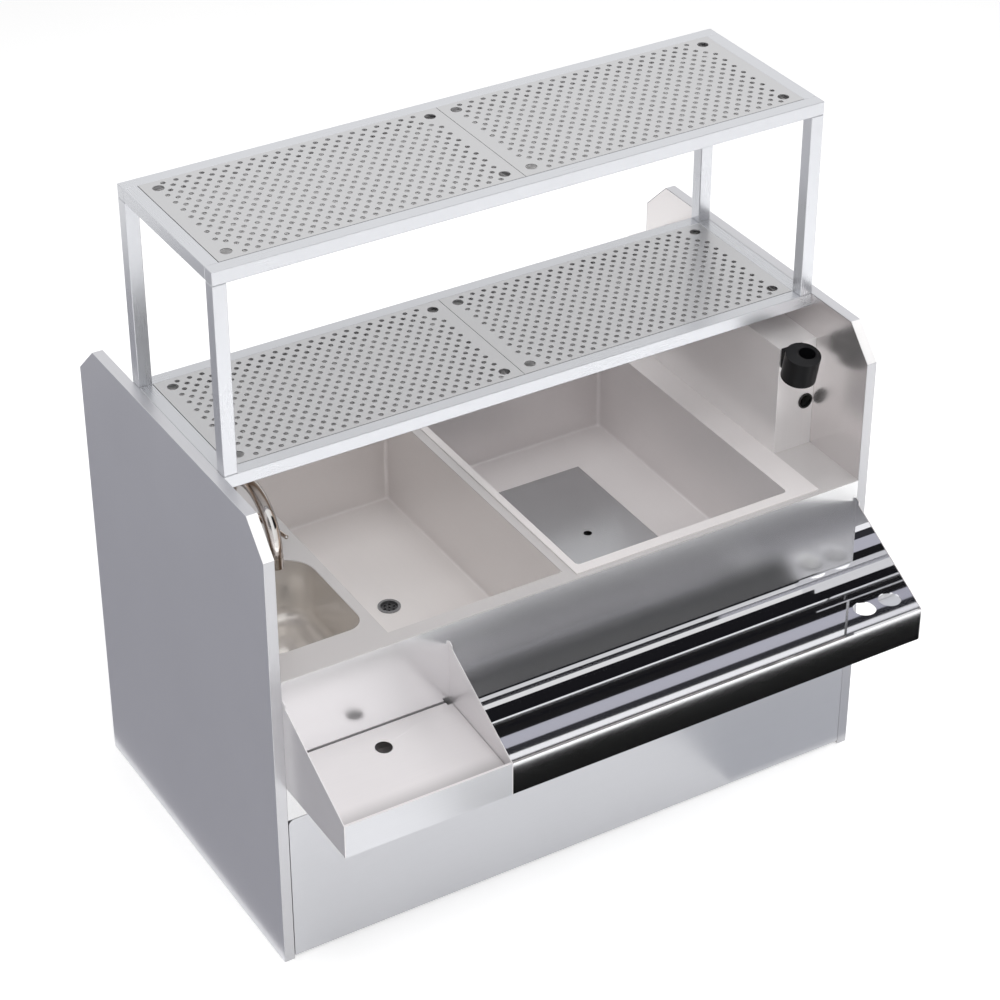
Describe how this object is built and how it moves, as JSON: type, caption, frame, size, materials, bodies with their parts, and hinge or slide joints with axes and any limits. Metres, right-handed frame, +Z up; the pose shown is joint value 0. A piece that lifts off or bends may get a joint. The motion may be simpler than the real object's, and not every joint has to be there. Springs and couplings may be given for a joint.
{
  "type": "bar sink with ice bin",
  "caption": "Underbar station with hand basin, sink, drained ice bin, swan-neck tap, bar-gun holster, front bottle rail and tray, and perforated overhead racks.",
  "frame": {"origin": "on the floor, under the middle of the whole, trough included", "axes": "+Z up, +X to the user's right, +Y to the back, so the front trough is at -Y"},
  "size_m": [1.2, 0.905, 1.275],
  "materials": {
    "side_steel": "satin brushed",
    "front_steel": "satin brushed",
    "deck_steel": "satin brushed",
    "well_steel": "fine satin",
    "plate_steel": "fine satin",
    "tube_steel": "satin brushed",
    "panel_steel": "fine satin, perforated",
    "polished_steel": "mirror polished stainless steel",
    "tray_steel": "fine satin",
    "tap_chrome": "polished chrome",
    "waste_steel": "turned",
    "strainer_steel": "punched",
    "drain_plastic": "moulded",
    "foam": "rigid foam",
    "holster_plastic": "gloss moulded",
    "grommet_rubber": "moulded",
    "cartridge_ceramic": "ceramic",
    "brass": "turned",
    "copper": "drawn copper tube",
    "catch_plastic": "moulded"
  },
  "bodies": {
    "cabinet": {"side_panel_left": "side_steel", "side_panel_right": "side_steel", "side_liners": "side_steel", "floor_shelf": "front_steel", "floor_aprons": "front_steel", "back_panel": "front_steel", "front_fascia": "front_steel", "panel_catches": "catch_plastic", "deck_strips": "deck_steel", "deck_bridges": "deck_steel", "deck_collar": "deck_steel", "deck_upstand": "deck_steel", "deck_bearers": "front_steel", "hand_basin": "well_steel", "basin_waste": "waste_steel", "sink_well": "well_steel", "sink_waste": "waste_steel", "ice_well": "well_steel", "ice_sump": "well_steel", "ice_foam": "foam", "ice_waste": "waste_steel", "waste_manifold": "drain_plastic", "waste_trap": "drain_plastic", "tap_body": "tap_chrome", "tap_cartridge": "cartridge_ceramic", "tap_backnut": "brass", "tap_tails": "copper", "gun_housing": "deck_steel", "gun_holster": "holster_plastic", "holster_bracket": "holster_plastic", "hose_grommet": "grommet_rubber", "lower_rail_front": "tube_steel", "lower_rail_back": "tube_steel", "lower_rail_left": "tube_steel", "lower_rail_right": "tube_steel", "upper_rail_front": "tube_steel", "upper_rail_back": "tube_steel", "upper_rail_left": "tube_steel", "upper_rail_right": "tube_steel", "post_front_left": "tube_steel", "post_front_right": "tube_steel", "post_back_left": "tube_steel", "post_back_right": "tube_steel", "lower_pan": "panel_steel", "upper_pan": "panel_steel", "bottle_rail": "polished_steel", "tray_channel": "tray_steel", "trough_plates": "tray_steel"},
    "spout": {"tap_spout": "tap_chrome", "tap_nozzle": "tap_chrome"},
    "cap": {"tap_cap": "tap_chrome"},
    "lever": {"tap_lever": "tap_chrome"},
    "strainer": {"sink_strainer": "strainer_steel"},
    "ice_plate": {"ice_plate": "plate_steel"},
    "tray_plate": {"tray_plate": "tray_steel"},
    "access_panel": {"access_panel": "front_steel"},
    "lower_panel_left": {"lower_panel_left": "panel_steel"},
    "lower_panel_right": {"lower_panel_right": "panel_steel"},
    "upper_panel_left": {"upper_panel_left": "panel_steel"},
    "upper_panel_right": {"upper_panel_right": "panel_steel"}
  },
  "joints": [
    {"name": "spout_swing", "type": "hinge", "parent": "cabinet", "child": "spout", "pos_m": [-0.4755, 0.1365, 0.67], "axis": [0, 0, 1], "range_deg": [-30, 95]},
    {"name": "temperature_turn", "type": "hinge", "parent": "cabinet", "child": "cap", "pos_m": [-0.4412, 0.1365, 0.646], "axis": [-1, 0, 0], "range_deg": [-20, 70]},
    {"name": "flow_tilt", "type": "hinge", "parent": "cap", "child": "lever", "pos_m": [-0.4237, 0.1365, 0.646], "axis": [0, 0, 1], "range_deg": [0, 25]},
    {"name": "strainer_lift", "type": "slide", "parent": "cabinet", "child": "strainer", "axis": [0, 0, 1], "range_m": [0, 0.1]},
    {"name": "ice_plate_lift", "type": "slide", "parent": "cabinet", "child": "ice_plate", "axis": [0, 0, 1], "range_m": [0, 0.15]},
    {"name": "tray_plate_lift", "type": "slide", "parent": "cabinet", "child": "tray_plate", "axis": [0, 0, 1], "range_m": [0, 0.12]},
    {"name": "access_panel_pull", "type": "slide", "parent": "cabinet", "child": "access_panel", "axis": [0, -1, 0], "range_m": [0, 0.25]},
    {"name": "lower_panel_left_lift", "type": "slide", "parent": "cabinet", "child": "lower_panel_left", "axis": [0, 0, 1], "range_m": [0, 0.2]},
    {"name": "lower_panel_right_lift", "type": "slide", "parent": "cabinet", "child": "lower_panel_right", "axis": [0, 0, 1], "range_m": [0, 0.2]},
    {"name": "upper_panel_left_lift", "type": "slide", "parent": "cabinet", "child": "upper_panel_left", "axis": [0, 0, 1], "range_m": [0, 0.2]},
    {"name": "upper_panel_right_lift", "type": "slide", "parent": "cabinet", "child": "upper_panel_right", "axis": [0, 0, 1], "range_m": [0, 0.2]}
  ]
}
